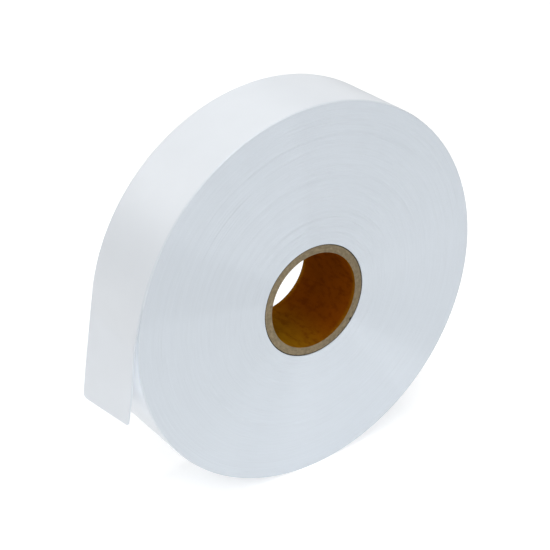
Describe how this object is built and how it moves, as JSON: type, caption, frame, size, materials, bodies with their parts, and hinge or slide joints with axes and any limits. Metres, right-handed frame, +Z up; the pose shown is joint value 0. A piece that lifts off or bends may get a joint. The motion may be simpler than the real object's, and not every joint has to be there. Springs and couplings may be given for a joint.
{
  "type": "roll of double-faced satin ribbon",
  "caption": "Full roll of plain white satin ribbon on a cardboard core, standing on its rim, with its loose end hanging.",
  "frame": {"origin": "middle of the small flat spot on which the roll stands, halfway across the ribbon's width", "axes": "+Z up; the roll's axis lies along Y, and its shown face looks towards -Y; the loose end hangs on the -X side"},
  "size_m": [0.1558, 0.032, 0.1496],
  "materials": {
    "satin_ribbon": "satin",
    "core_cardboard": "matte"
  },
  "bodies": {
    "root": {"wound_roll": "satin_ribbon", "core_tube": "core_cardboard", "loose_end": "satin_ribbon"}
  },
  "joints": []
}
